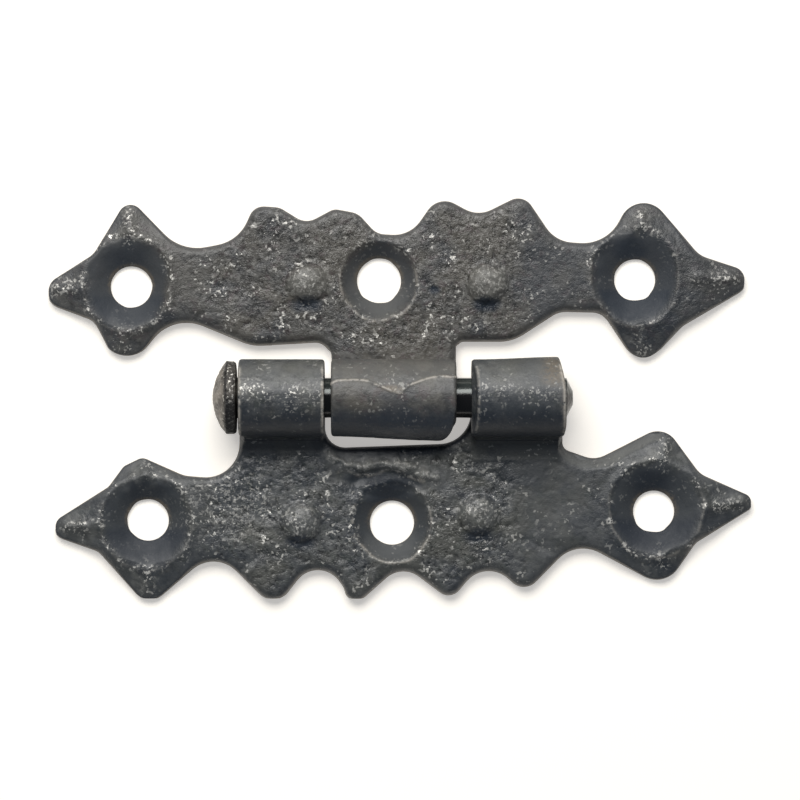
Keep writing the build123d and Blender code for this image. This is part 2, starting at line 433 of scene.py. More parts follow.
@dataclass(frozen=True)
class PinSteel:
    """Black pin: glossy on the shank, painted paler on its +Y side as a painted reflection, and
    paler on the head from wear and painted reflection.

    Attributes:
        name: the finish's name.
        black: colour of the shank.
        painted_sheen: colour of the shank's +Y side, a painted reflection of the room.
        rubbed_and_sheen: colour of the head, worn and painted paler as a painted reflection of the
            white room.
        bare: colour of the bare flecks on its rim.
        head_end: X where the head ends.
        dome_start: X where the head's dome meets its rim.
    """

    name: str
    black: Colour
    painted_sheen: Colour
    rubbed_and_sheen: Colour
    bare: Colour
    head_end: float
    dome_start: float

    def build(self) -> bpy.types.Material:
        """Makes the material.

        Returns:
            The material.
        """
        s = ShaderSheet(self.name)
        at = s.millimetres()
        along = s.node("ShaderNodeSeparateXYZ", {}, {0: at}, 0)
        across = s.node("ShaderNodeSeparateXYZ", {}, {0: at}, 1)
        head = 1.0 - along.between(self.head_end, self.head_end + 0.3)
        dome = 1.0 - along.between(self.dome_start - 0.05, self.dome_start + 0.1)
        grain = s.noise(at, Clouds.PIN_GRAIN)
        patch = s.noise(at, Clouds.PIN_PATCH)
        wear = s.mark(Mark.WEAR)
        # the head is painted paler, partly wear and partly a painted reflection of the white room
        worn = head * (0.45 + 0.55 * patch.between(0.35, 0.65)) * (1.0 - wear * 0.6)
        # painted reflection: the shank's +Y side is painted paler
        shank = s.mix(across.between(0.3, 0.6) * (1.0 - head), self.black, self.painted_sheen)
        colour = s.mix(worn, shank, self.rubbed_and_sheen)
        # painted shade: the head's rim is painted black on its -Y half, away from the light
        shade = (head - dome) * across.between(0.8, -0.8) * 0.85
        colour = s.mix(shade, colour, self.black)
        spots = s.noise(at, Clouds.PIN_SPOTS).between(0.57, 0.64)
        spots = spots * (wear + head * 0.3).at_most(1.0) * (1.0 - shade)
        seam = s.math("ABSOLUTE", along - self.dome_start, 0.0).between(0.2, 0.06)
        colour = s.mix(seam * 0.8, colour, self.black)
        colour = s.mix(spots * (1.0 - seam), colour, self.bare)
        rough = 0.16 + head * 0.3 + (grain - 0.5) * 0.15
        height = grain * (head * 0.3 + wear * 0.6 + 0.06)
        return s.finish(colour, rough, spots * 0.6 + 0.3, height, 0.12 * MM)


@dataclass(frozen=True)
class Spot:
    """A place on a leaf.

    Attributes:
        x: where it is along the pin.
        y: where it is across the hinge.
    """

    x: float
    y: float

    @property
    def place(self) -> Place:
        """The place as a pair."""
        return (self.x, self.y)


@dataclass(frozen=True)
class Bowl(Spot):
    """A screw hole's bowl, which spreads past the countersink to an uneven rim.

    Attributes:
        hole: radius of the hole.
        rims: radius of the rim to the right, top, left and bottom.
        crest: how far the rim stands up.
        wear: how flecked the rim is.
        line: how bright a line runs round the rim.
        soot: how much painted shade darkens the upper side, which faces away from the light.
        dusk: how black the lower side is.
    """

    hole: float
    rims: tuple[float, float, float, float]
    crest: float
    wear: float
    line: float
    soot: float
    dusk: float = 0.0

    def rim(self, at: np.ndarray) -> np.ndarray:
        """The rim's radius in the direction of each point.

        Args:
            at: the points.

        Returns:
            The radii.
        """
        turn = np.arctan2(at[:, 1] - self.y, at[:, 0] - self.x)
        level = sum(self.rims) / 4.0
        right, top, left, bottom = self.rims
        lean = 0.5 * (right - left) * np.cos(turn) + 0.5 * (top - bottom) * np.sin(turn)
        return level + lean + 0.25 * (right + left - top - bottom) * np.cos(2.0 * turn)


@dataclass(frozen=True)
class Dent(Spot):
    """A hammer mark: a shallow hollow.

    Attributes:
        radius: half its length along Y.
        depth: how deep it is.
        stretch: how many times longer it is along X.
        floor: how much of it is its flat floor, from 0 to 1.
    """

    radius: float
    depth: float
    stretch: float = 1.0
    floor: float = 0.0


@dataclass(frozen=True)
class Bevel:
    """A sloping edge, hammered along some points of the outline.

    Attributes:
        points: the places that the outline passes.
        width: how far it reaches in from the outline.
        depth: how much lower the outline is.
    """

    points: tuple[Place, ...]
    width: float
    depth: float


@dataclass(frozen=True)
class Smudge(Spot):
    """A patch that is blacker, browner, paler or more flecked: an oval with a ragged edge. Some
    blacker ones, such as the one along the slot, are painted shadow.

    Attributes:
        wide: half its length along X.
        tall: half its length along Y.
        share: how strong it is.
        mark: which of these it is.
        barrel: whether it lies on the barrel.
    """

    wide: float
    tall: float
    share: float
    mark: Mark = Mark.SHADE_AND_SOOT
    barrel: bool = False


@dataclass(frozen=True)
class Ridge:
    """A raised line of metal along some points, with bare flecks on its crest.

    Attributes:
        points: the places that the line passes.
        width: half its width.
        height: how far it stands up.
        wear: how flecked its crest is.
        line: how bright a line runs along it.
        pale: how much paler colour it gets; on the barrels' +Y sides it is painted highlight.
    """

    points: tuple[Place, ...]
    width: float
    height: float
    wear: float = 0.0
    line: float = 0.0
    pale: float = 0.0


@dataclass(frozen=True)
class Root:
    """Where a knuckle springs from the plate: a hollow sweep in place of a sharp crease.

    Attributes:
        low: X where it starts.
        high: X where it ends.
        width: how far past the barrel it reaches.
        soot: how much painted shade darkens the sweep.
    """

    low: float
    high: float
    width: float
    soot: float = 0.0


@dataclass(frozen=True)
class EndWarp:
    """A part of a knuckle that is out of true: points between two X move by a slope.

    Attributes:
        x_still: X where nothing moves.
        x_full: X where the points move the whole way.
        front: how far the points on the +Y side move, in X and Y.
        crown: how far the points on the crown move.
        rear: how far the points on the -Y side move.
    """

    x_still: float
    x_full: float
    front: Place = (0.0, 0.0)
    crown: Place = (0.0, 0.0)
    rear: Place = (0.0, 0.0)


class WorkedMesh:
    """The points of a piece's mesh, in millimetres, while it is worked."""

    def __init__(self, piece: bpy.types.Object) -> None:
        """Reads the piece's points and normals.

        Args:
            piece: the piece, whose mesh is worked.
        """
        self.mesh: bpy.types.Mesh = piece.data
        count = len(self.mesh.vertices)
        self.at = np.empty(count * 3, np.float32)
        self.mesh.vertices.foreach_get("co", self.at)
        self.at = self.at.reshape(-1, 3).astype(np.float64) / MM
        self.normal = np.empty(count * 3, np.float32)
        self.mesh.vertex_normals.foreach_get("vector", self.normal)
        self.normal = self.normal.reshape(-1, 3).astype(np.float64)
        self.marks = {mark: np.zeros(count) for mark in Mark}

    def push(self, amount: np.ndarray) -> None:
        """Moves each point along its normal, in millimetres."""
        self.at += self.normal * amount[:, None]

    def keep_inside(self, low: Sequence[float], high: Sequence[float]) -> None:
        """Holds the points just inside a box given in metres."""
        np.clip(self.at, np.array(low) / MM + HAIR, np.array(high) / MM - HAIR, out=self.at)

    def lumps(self, pattern: Lumps, seed: float = 0.0) -> np.ndarray:
        """Lumpy noise at the points.

        Args:
            pattern: which pattern.
            seed: a further offset, so that the two leaves differ.

        Returns:
            A number from about -1 to 1 for each point.
        """
        size, octaves, offset = pattern.value
        aside = seed + offset
        shift = Vector((aside, aside * 0.7, aside * 1.3))
        places = (Vector(point / size) + shift for point in self.at)
        return np.array([noise.fractal(p, LUMP_FALL, LUMP_STEP, octaves) for p in places])

    def from_place(self, place: Place, stretch: float = 1.0) -> np.ndarray:
        """How far each point is in plan from a place; X counts less by the stretch."""
        return np.hypot((self.at[:, 0] - place[0]) / stretch, self.at[:, 1] - place[1])

    def from_line(self, points: Sequence[Place]) -> np.ndarray:
        """How far each point is in plan from a line through some places.

        Args:
            points: the places along the line.

        Returns:
            The distances, in millimetres.
        """
        best = np.full(len(self.at), np.inf)
        x, y = self.at[:, 0], self.at[:, 1]
        for (ax, ay), (bx, by) in zip(points, points[1:]):
            run = np.array((bx - ax, by - ay))
            share = ((x - ax) * run[0] + (y - ay) * run[1]) / (run @ run)
            share = np.clip(share, 0.0, 1.0)
            gone = np.hypot(x - ax - share * run[0], y - ay - share * run[1])
            best = np.minimum(best, gone)
        return best

    def add(self, mark: Mark, values: np.ndarray) -> None:
        """Strengthens a mark where the values are higher."""
        self.marks[mark] = np.maximum(self.marks[mark], values)

    def store(self) -> None:
        """Writes the points and the marks to the mesh."""
        self.mesh.vertices.foreach_set("co", (self.at * MM).astype(np.float32).ravel())
        self.mesh.update()
        for mark, values in self.marks.items():
            layer = self.mesh.attributes.new(mark.value, "FLOAT", "POINT")
            layer.data.foreach_set("value", np.clip(values, 0.0, 1.0).astype(np.float32))


def curve(points: Sequence[Place], steps: int = 6) -> list[Place]:
    """A smooth line through some places.

    Args:
        points: the places.
        steps: how many short pieces each stretch is made of.

    Returns:
        Places along the line.
    """
    ends = [points[0], *points, points[-1]]
    line: list[Place] = []
    for a, b, c, d in zip(ends, ends[1:], ends[2:], ends[3:]):
        for i in range(steps):
            t = i / steps
            line.append(
                tuple(
                    0.5
                    * (
                        2 * q
                        + (r - p) * t
                        + (2 * p - 5 * q + 4 * r - w) * t**2
                        + (3 * q - p - 3 * r + w) * t**3
                    )
                    for p, q, r, w in zip(a, b, c, d)
                )
            )
    return [*line, points[-1]]


def smooth_step(low: float, high: float, value: np.ndarray) -> np.ndarray:
    """A smooth step from 0 at low to 1 at high."""
    t = np.clip((value - low) / (high - low), 0.0, 1.0)
    return t * t * (3.0 - 2.0 * t)


def bell(value: np.ndarray, width: float) -> np.ndarray:
    """A smooth hump: 1 where the value is 0, and gone two widths away."""
    return np.exp(-((value / width) ** 2))


@dataclass
class Forging:
    """A piece of the hinge, worked from its solid as a smith works iron.

    Attributes:
        node: the solid that the piece stands for.
        body: the body that it moves with.
        name: the piece's name.
        slot: the record's finish for it; not used.
        finish: the finish it is dressed in.
        axis_height: height of the pin's axis.
        bore: radius of the barrel's bore.
        grain: size of the faces of the worked surface.
        triangles: how many triangles the finished piece has at most.
    """

    node: str
    body: str
    name: str
    slot: str
    finish: Union[BlackIron, PinSteel]
    axis_height: float = 3.85
    bore: float = 2.05
    grain: float = 0.14
    triangles: int = 185_000
    piece: Optional[bpy.types.Object] = field(default=None, repr=False)

    def apply(self, kind: str, **settings: Any) -> None:
        """Adds a modifier to the piece, sets it and applies it.

        Args:
            kind: the modifier's type.
            settings: the modifier's own settings.
        """
        modifier = self.piece.modifiers.new(kind.lower(), kind)
        for key, value in settings.items():
            setattr(modifier, key, value)
        bpy.ops.object.modifier_apply(modifier=modifier.name)

    def blank(self) -> None:
        """Copies the solid, closes its seams and gives it an even skin of small faces."""
        bpy.ops.object.select_all(action="DESELECT")
        self.piece = bpy.data.objects.new(self.name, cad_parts[self.node].data.copy())
        bpy.context.scene.collection.objects.link(self.piece)
        self.piece.select_set(True)
        bpy.context.view_layer.objects.active = self.piece
        bpy.ops.object.mode_set(mode="EDIT")
        bpy.ops.mesh.select_all(action="SELECT")
        bpy.ops.mesh.remove_doubles(threshold=MERGE * MM)
        bpy.ops.object.mode_set(mode="OBJECT")
        self.apply("REMESH", mode="VOXEL", voxel_size=self.grain * MM, adaptivity=0.0)

    def thin(self) -> None:
        """Joins small faces where the surface is flat, down to the piece's triangle count."""
        faces = sum(len(p.vertices) - 2 for p in self.piece.data.polygons)
        if faces > self.triangles:
            self.apply("DECIMATE", decimate_type="COLLAPSE", ratio=self.triangles / faces)

    def dress(self) -> None:
        """Smooths the shading, gives the piece its finish and puts it in the solid's place."""
        bpy.ops.object.shade_smooth()
        self.piece.data.materials.clear()
        self.piece.data.materials.append(self.finish.build())
        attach(self.piece, self.body)
        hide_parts(self.node)

    def off_axis(self, at: np.ndarray) -> np.ndarray:
        """How far each point is from the pin's axis."""
        return np.hypot(at[:, 1], at[:, 2] - self.axis_height)


class LeafSkin(WorkedMesh):
    """A leaf's points, with what tells its front, barrel, back and cut edges apart."""

    def __init__(self, leaf: "Leaf") -> None:
        """Measures where each point lies on the leaf.

        Args:
            leaf: the leaf, with its blank made.
        """
        super().__init__(leaf.piece)
        depth, facing_up = self.at[:, 2], self.normal[:, 2]
        around = leaf.off_axis(self.at)
        self.sheet = leaf.sheet
        self.barrel = smooth_step(leaf.axis_height + 0.6, leaf.axis_height + 0.1, around)
        self.plate = 1.0 - self.barrel
        self.near = smooth_step(leaf.axis_height + 2.4, leaf.axis_height + 0.2, around)
        self.bore = smooth_step(leaf.bore + 0.5, leaf.bore + 0.2, around)
        self.roll = self.barrel * (1.0 - self.bore) * smooth_step(-0.35, 0.2, facing_up)
        self.level = np.clip(depth / self.sheet, 0.0, 1.0) * self.plate
        self.front = smooth_step(0.15, 0.6, facing_up) * smooth_step(0.3, 0.6, depth) * self.plate
        self.back = smooth_step(-0.5, -0.9, facing_up) * smooth_step(0.4, 0.1, depth)
        self.back *= 1.0 - self.bore
        self.uneven = self.lumps(Lumps.UNEVEN, leaf.seed)
        self.knots = self.lumps(Lumps.KNOTS, leaf.seed)
        self.rise = np.zeros(len(self.at))
        self.find_edges(leaf)

    def find_edges(self, leaf: "Leaf") -> None:
        """Finds how far each point is from the cut edge, in plan, and which way that edge faces.

        Args:
            leaf: the leaf, whose holes don't count.
        """
        depth = self.at[:, 2]
        walls = (np.abs(self.normal[:, 2]) < 0.35) & (depth < self.sheet - 0.7) & (depth > 0.2)
        for bowl in leaf.bowls:
            walls &= self.from_place(bowl.place) > bowl.hole + 0.6
        places = self.at[walls][:, :2]
        tree = kdtree.KDTree(len(places))
        for i, place in enumerate(places):
            tree.insert((*place, 0.0), i)
        tree.balance()
        found = [tree.find((p[0], p[1], 0.0)) for p in self.at]
        self.edge = np.array([gone for _, _, gone in found])
        self.facing = self.normal[walls][:, :2][[index for _, index, _ in found]]

    def clean_back(self) -> None:
        """Takes the marks of the front off the back, which lay against the wood."""
        for mark in (Mark.WEAR, Mark.LINE, Mark.DUST_AND_HIGHLIGHT, Mark.SHADE_AND_SOOT):
            self.marks[mark] *= 1.0 - self.back
        self.add(Mark.CALM, 0.55 * self.back)

    def settle(self, draft: float) -> None:
        """Raises the front by what was hammered, and spreads the feet of the shaded edges.

        Args:
            draft: how far a foot stands out, where it is clear of the other leaf.
        """
        self.at[:, 2] += self.rise * self.level
        low = np.clip(1.0 - self.at[:, 2] / self.sheet, 0.0, 1.0)
        spread = draft * bell(self.edge, 0.7) * low
        spread *= smooth_step(0.1, 0.6, -self.facing[:, 1]) * self.plate
        spread *= smooth_step(*SLOPING_FROM, np.abs(self.at[:, 1]))
        self.at[:, :2] += spread[:, None] * self.facing


@dataclass
class Leaf(Forging):
    """A leaf: a star-ended plate with its rolled knuckles.

    Attributes:
        side: +1 for the leaf on the +Y side, -1 for the other.
        sheet: thickness of the plate.
        bowls: its screw holes.
        bumps: places of its two nail-head bumps.
        tips: places of its star points.
        dents: hammer marks.
        smudges: patches of other colours.
        ridges: raised lines on the plate.
        bevels: edges hammered to a slope.
        crown: raised lines on the barrel, and bands on its +Y side painted paler as painted
            highlight.
        warps: how its knuckles are out of true.
        roots: where its knuckles spring from the plate.
        land: depth of metal left round a hole at the back.
        draft: how far the foot of a cut edge stands out on the shaded side.
        shade_line: Y below which the barrel is painted in shade.
        foot_end: Y where the painted shadow at the barrel's foot ends.
        quiet_from: X past which the scale is smoother.
        hush: how smooth it is there.
        arm_wear: how flecked the crests of the star's arms are.
        bump_wear: how flecked the bumps are.
        bump_highlight: how much the bumps' tops are painted paler, a painted highlight.
        relief: how deep the roughness of its scale is.
        seed: which pattern of hammering it has.
    """

    side: int = 1
    sheet: float = 1.8
    bowls: tuple[Bowl, ...] = ()
    bumps: tuple[Place, ...] = ()
    tips: tuple[Place, ...] = ()
    dents: tuple[Dent, ...] = ()
    smudges: tuple[Smudge, ...] = ()
    ridges: tuple[Ridge, ...] = ()
    bevels: tuple[Bevel, ...] = ()
    crown: tuple[Ridge, ...] = ()
    warps: tuple[EndWarp, ...] = ()
    roots: tuple[Root, ...] = ()
    land: float = 0.4
    draft: float = 0.22
    shade_line: float = -1.0
    foot_end: float = -50.0
    quiet_from: float = 50.0
    hush: float = 0.8
    arm_wear: float = 0.6
    bump_wear: float = 0.3
    bump_highlight: float = 0.3
    relief: float = 1.0
    seed: float = 0.0

    def build(self) -> bpy.types.Object:
        """Makes the leaf.

        Returns:
            The finished piece.
        """
        self.blank()
        skin = LeafSkin(self)
        self.draw_arms(skin)
        self.mark_bumps(skin)
        self.stain(skin)
        self.hammer(skin)
        self.raise_rims(skin)
        skin.settle(self.draft)
        self.dish_bowls(skin)
        self.rub_barrel(skin)
        self.paint_shade_and_edges(skin)
        self.roughen(skin)
        self.fill_roots(skin)
        skin.clean_back()
        for warp in self.warps:
            self.bend(skin.at, warp)
        skin.keep_inside(*SOLID_BOX)
        skin.store()
        self.thin()
        self.dress()
        return self.piece

    def draw_arms(self, skin: LeafSkin) -> None:
        """Draws the star's arms thinner towards their points, with a worn crest along each.

        Args:
            skin: the leaf's points, which are moved and marked.
        """
        skin.rise -= 0.16 * np.exp(-skin.edge / EDGE_REACH)
        for tip in self.tips:
            near = smooth_step(4.8, 1.8, skin.from_place(tip))
            skin.rise -= 0.5 * near * np.clip(1.0 - skin.edge / 1.8, 0.0, 1.0)
            root = min(self.bowls, key=lambda bowl: math.hypot(bowl.x - tip[0], bowl.y - tip[1]))
            run = (tip[0] - root.x, tip[1] - root.y)
            arm = [(root.x + run[0] * t, root.y + run[1] * t) for t in (0.6, 0.97)]
            crest = bell(skin.from_line(arm) + 0.3 * skin.uneven, 0.55)
            skin.rise += 0.2 * crest
            skin.add(Mark.WEAR, self.arm_wear * crest * smooth_step(-0.4, 0.15, skin.uneven))
            skin.add(Mark.DUST_AND_HIGHLIGHT, 0.4 * near * smooth_step(0.0, 0.5, skin.knots))

    def mark_bumps(self, skin: LeafSkin) -> None:
        """Swells the nail-head bumps, rubs their tops, paints the tops paler as a painted highlight
        and paints shadow at their feet.

        Args:
            skin: the leaf's points, which are moved and marked.
        """
        for bump in self.bumps:
            out = skin.from_place(bump, 1.2)
            top = smooth_step(2.2, 1.2, out + 0.4 * skin.uneven)
            skin.rise += (0.16 + 0.1 * skin.knots) * smooth_step(2.3, 1.0, out)
            skin.add(Mark.WEAR, self.bump_wear * top)
            # painted highlight: the bump's top is painted paler as if lit
            skin.add(Mark.DUST_AND_HIGHLIGHT, self.bump_highlight * top)
            skin.add(Mark.CALM, 0.5 * top)
            # painted shadow below each bump, on its -Y side
            foot = np.hypot((skin.at[:, 0] - bump[0]) / 1.3, (skin.at[:, 1] - bump[1] + 2.1) / 0.75)
            skin.add(Mark.SHADE_AND_SOOT, 0.85 * smooth_step(1.5, 0.6, foot + 0.4 * skin.uneven))

    def stain(self, skin: LeafSkin) -> None:
        """Lays the patches of other colours on the plate and the barrel.

        Args:
            skin: the leaf's points, which are moved and marked.
        """
        for patch in self.smudges:
            aside = (skin.at[:, :2] - patch.place) / (patch.wide, patch.tall)
            out = np.hypot(aside[:, 0], aside[:, 1])
            cover = patch.share * smooth_step(1.1, 0.4, out + 0.35 * skin.uneven)
            skin.add(patch.mark, cover * (skin.barrel if patch.barrel else skin.plate))

    def hammer(self, skin: LeafSkin) -> None:
        """Strikes the dents, the sloping edges and the raised lines into the plate.

        Args:
            skin: the leaf's points, which are moved and marked.
        """
        for dent in self.dents:
            out = skin.from_place(dent.place, dent.stretch) / dent.radius
            skin.rise -= dent.depth * smooth_step(1.3, dent.floor, out + 0.12 * skin.uneven)
        for bevel in self.bevels:
            gone = skin.from_line(curve(bevel.points)) + 0.12 * skin.uneven
            skin.rise -= bevel.depth * np.clip(1.0 - gone / bevel.width, 0.0, 1.0)
            skin.add(Mark.DUST_AND_HIGHLIGHT, 0.6 * smooth_step(bevel.width, bevel.width - 0.25, gone))
        for ridge in self.ridges:
            crest = bell(skin.from_line(curve(ridge.points)) + 0.3 * skin.uneven, ridge.width)
            crest *= np.clip(0.75 + 0.7 * skin.knots, 0.0, 1.3)
            skin.rise += ridge.height * crest
            skin.add(Mark.WEAR, ridge.wear * crest)
            skin.add(Mark.LINE, ridge.line * crest)
            skin.add(Mark.DUST_AND_HIGHLIGHT, ridge.pale * crest)

    def raise_rims(self, skin: LeafSkin) -> None:
        """Raises the uneven rims of the bowls and colours the bowls, with painted shade on their
        upper sides and darker lower sides.

        Args:
            skin: the leaf's points, which are moved and marked.
        """
        for bowl in self.bowls:
            out = skin.from_place(bowl.place)
            past = out - bowl.rim(skin.at) - 0.25 * skin.uneven
            up = skin.at[:, 1] - bowl.y
            within = smooth_step(0.3, -0.9, past)
            skin.rise += bowl.crest * bell(past - 0.1, 0.45)
            open_up = smooth_step(0.1, 0.5, skin.normal[:, 2] + skin.front)
            skin.add(Mark.BOWL, smooth_step(0.35, -0.9, past) * open_up)
            ragged = smooth_step(-0.1, 0.35, skin.knots + 0.4 * skin.uneven)
            skin.add(Mark.WEAR, bowl.wear * bell(past, 0.32) * ragged)
            # bright line on the rim's lower side: wear, and a painted highlight where the rim faces
            # the light
            below = smooth_step(0.75, 0.0, up / np.maximum(out, 0.1))
            skin.add(Mark.LINE, bowl.line * bell(past, 0.12) * below)
            lip = smooth_step(bowl.hole + 0.45, bowl.hole + 0.1, out) * smooth_step(-1.5, 1.5, up)
            skin.add(Mark.RUST_AND_REFLECTION, 0.9 * lip)
            # painted shade on the bowl's upper side, which faces away from the light
            dark = np.hypot((skin.at[:, 0] - bowl.x + 0.4) / 1.3, up - 2.9)
            skin.add(Mark.SHADE_AND_SOOT, bowl.soot * smooth_step(2.4, 0.6, dark) * within)
            skin.add(Mark.SHADE_AND_SOOT, bowl.dusk * smooth_step(-0.2, -1.4, up) * within)

    def dish_bowls(self, skin: LeafSkin) -> None:
        """Sinks the bowls from their rims to the holes, and nicks the holes' edges.

        Args:
            skin: the leaf's points, which are moved and marked.
        """
        at = skin.at
        for bowl in self.bowls:
            out = skin.from_place(bowl.place)
            rim = bowl.rim(at) + 0.25 * skin.uneven
            share = np.clip((out - bowl.hole) / (rim - bowl.hole), 0.0, 1.0)
            top = self.sheet + np.minimum(skin.rise, 0.0) + bowl.crest * 0.6
            slope = 0.6 * share + 0.4 * np.sin(0.5 * math.pi * share)
            dish = self.land + (top - self.land) * slope
            inside = (share > 0.02) * (share < 1.0) * skin.front * smooth_step(1.0, 0.93, share)
            at[:, 2] += (np.minimum(dish, at[:, 2]) - at[:, 2]) * inside
            nick = smooth_step(bowl.hole + 0.5, bowl.hole + 0.1, out) * 0.09
            nick *= smooth_step(0.1, 0.7, skin.uneven)
            at[:, :2] += (nick / np.maximum(out, 0.1))[:, None] * (at[:, :2] - bowl.place)

    def rub_barrel(self, skin: LeafSkin) -> None:
        """Raises and rubs the lines along the barrel's crown and round its ends, and paints paler
        bands on its +Y side as painted highlight.

        Args:
            skin: the leaf's points, which are moved and marked.
        """
        for ridge in self.crown:
            crest = bell(skin.from_line(curve(ridge.points)), ridge.width) * skin.roll
            skin.push(ridge.height * crest)
            skin.add(Mark.WEAR, ridge.wear * crest * smooth_step(-0.6, 0.3, skin.uneven))
            skin.add(Mark.LINE, ridge.line * crest)
            skin.add(Mark.DUST_AND_HIGHLIGHT, ridge.pale * crest)

    def paint_shade_and_edges(self, skin: LeafSkin) -> None:
        """Paints shade on the barrel's shaded side, the barrel's cast shadow at its foot, the
        middle knuckle's shadow along the slot's edge and a thin dark line along every cut edge;
        marks the walls and the edges.

        Args:
            skin: the leaf's points, which are moved and marked.
        """
        x, y = np.abs(skin.at[:, 0]), skin.at[:, 1]
        shaded = smooth_step(self.shade_line + 0.7, self.shade_line - 1.3, y + 0.5 * skin.uneven)
        # painted shade on the barrel's side that faces away from the light
        skin.add(Mark.SHADE_AND_SOOT, 0.8 * shaded * skin.roll)
        foot = smooth_step(self.foot_end, self.foot_end + 1.6, y + 0.4 * skin.uneven) * (y < 0.0)
        foot *= smooth_step(*KNUCKLE_END, x) * smooth_step(*KNUCKLE_START, x)
        # painted shadow that the barrel casts on the plate at its foot
        skin.add(Mark.SHADE_AND_SOOT, 0.35 * foot * skin.front)
        # painted shadow of the middle knuckle along the slot's edge
        slot = smooth_step(*SLOT_END, x) * smooth_step(*SLOT_EDGE, y) * (y < 0.0) * skin.plate
        skin.add(Mark.SHADE_AND_SOOT, 0.95 * slot * smooth_step(0.75, 0.35, skin.edge + 0.1 * skin.uneven))
        # painted shade: a thin dark line along every cut edge
        skin.add(Mark.SHADE_AND_SOOT, 0.8 * bell(skin.edge, 0.14) * skin.front)
        walls = smooth_step(0.55, 0.2, np.abs(skin.normal[:, 2])) * skin.plate
        # painted reflection: the walls are painted brown for the warm floor's light on them
        skin.add(Mark.RUST_AND_REFLECTION, 0.9 * walls)
        skin.add(Mark.EDGE, np.exp(-skin.edge / EDGE_REACH) * skin.plate)

    def roughen(self, skin: LeafSkin) -> None:
        """Roughens the scale: lumps, grain and pits, quieter on the stars and in the bowls.

        Args:
            skin: the leaf's points, which are moved and marked.
        """
        bowl = skin.marks[Mark.BOWL]
        star = smooth_step(*STAR_START, np.abs(skin.at[:, 0]))
        still = smooth_step(self.quiet_from, self.quiet_from + 4.0, skin.at[:, 0])
        for ridge in self.ridges:
            still = np.maximum(still, smooth_step(1.6, 0.6, skin.from_line(ridge.points)))
        quiet = np.maximum(star, still)
        struck = np.clip(skin.front * (1.0 - bowl) + 0.3 * skin.roll, 0.0, 1.0)
        struck *= smooth_step(-0.1, 0.7, skin.edge + skin.barrel) * (1.0 - 0.6 * quiet)
        away = 1.0 - 0.6 * skin.near * skin.plate
        struck *= self.relief * away * (1.0 - 0.6 * skin.marks[Mark.DUST_AND_HIGHLIGHT])
        struck = np.maximum(struck, 0.4 * skin.back)
        broad = skin.lumps(Lumps.BROAD, self.seed)
        lumps = skin.lumps(Lumps.COARSE, self.seed)
        fine = skin.lumps(Lumps.FINE, self.seed)
        pits = smooth_step(0.25, 0.6, skin.lumps(Lumps.PITS, self.seed))
        skin.push(struck * (0.08 * broad + 0.07 * lumps + 0.036 * fine - 0.1 * pits - 0.04))
        skin.push(bowl * skin.front * 0.012 * lumps)
        skin.add(Mark.BOWL, 0.6 * self.hush * quiet)
        depth = 0.3 * lumps + 0.25 * fine - 0.35 * pits
        skin.add(Mark.RELIEF, 0.6 + depth * (1.0 - 0.8 * skin.roll))
        skin.add(Mark.CALM, 0.76 * skin.near * (1.0 - skin.bore))
        skin.add(Mark.CALM, self.hush * still * (1.0 - star))

    def fill_roots(self, skin: LeafSkin) -> None:
        """Closes the seams where the rolled ends meet the plate, with an even hollow sweep.

        Args:
            skin: the leaf's points, which are moved and marked.
        """
        at, turn = skin.at, self.axis_height
        out = self.side * at[:, 1]
        seam_angle = math.radians(ROLL_TURN - 270.0)
        seam_run, seam_out = turn * seam_angle, turn * math.cos(seam_angle)
        fall = np.arcsin(np.clip((turn - at[:, 2]) / turn, 0.0, 1.0))
        upward = skin.normal[:, 2]
        rolled = smooth_step(0.5, 0.2, np.abs(self.off_axis(at) - turn))
        rolled *= smooth_step(0.3, 0.1, upward)
        rolled *= (at[:, 2] < turn) * (fall < seam_angle + 0.06)
        lies = smooth_step(0.2, 0.6, upward) * smooth_step(seam_out - 0.15, seam_out + 0.1, out)
        lies *= np.abs(at[:, 2] - self.sheet) < 0.5
        on_plate = lies > rolled
        for root in self.roots:
            whole = seam_run + turn + root.width - seam_out
            gone = np.where(on_plate, seam_run + np.maximum(out - seam_out, 0.0), turn * fall)
            along = np.clip(gone / whole, 0.0, 1.0)
            share = np.maximum(lies, rolled) * (gone < whole) * (out > 0.0)
            begun = smooth_step(0.0, 0.6, at[:, 0] - root.low)
            share *= begun * smooth_step(0.0, 0.6, root.high - at[:, 0])
            at[:, 1] += share * self.side * (turn + along**2 * root.width - out)
            at[:, 2] += share * (self.sheet + (turn - self.sheet) * (1.0 - along) ** 2 - at[:, 2])
            # painted shade in the sweep, which faces away from the light
            skin.add(Mark.SHADE_AND_SOOT, root.soot * share * (0.8 + 0.4 * skin.uneven))
            skin.add(Mark.CALM, 0.5 * share)

    def bend(self, at: np.ndarray, warp: EndWarp) -> None:
        """Bends the end of a knuckle out of true.

        Args:
            at: the leaf's points, which are moved.
            warp: which end, and how far.
        """
        around = self.off_axis(at)
        run = warp.x_full - warp.x_still
        share = smooth_step(0.0, 1.0, (at[:, 0] - warp.x_still) / run)
        share *= smooth_step(1.3, 1.0, np.abs(at[:, 0] - warp.x_full) / abs(run))
        share *= smooth_step(self.axis_height + 0.9, self.axis_height + 0.3, around)
        share *= smooth_step(self.bore + 0.15, self.bore + 1.2, around)
        level = (at[:, 2] - self.axis_height) / self.axis_height
        across = at[:, 1] / self.axis_height
        for weight, move in (
            (smooth_step(0.1, 0.95, across), warp.front),
            (smooth_step(0.1, 0.95, level), warp.crown),
            (smooth_step(0.1, 0.95, -across), warp.rear),
        ):
            at[:, 0] += share * weight * move[0]
            at[:, 1] += share * weight * move[1]


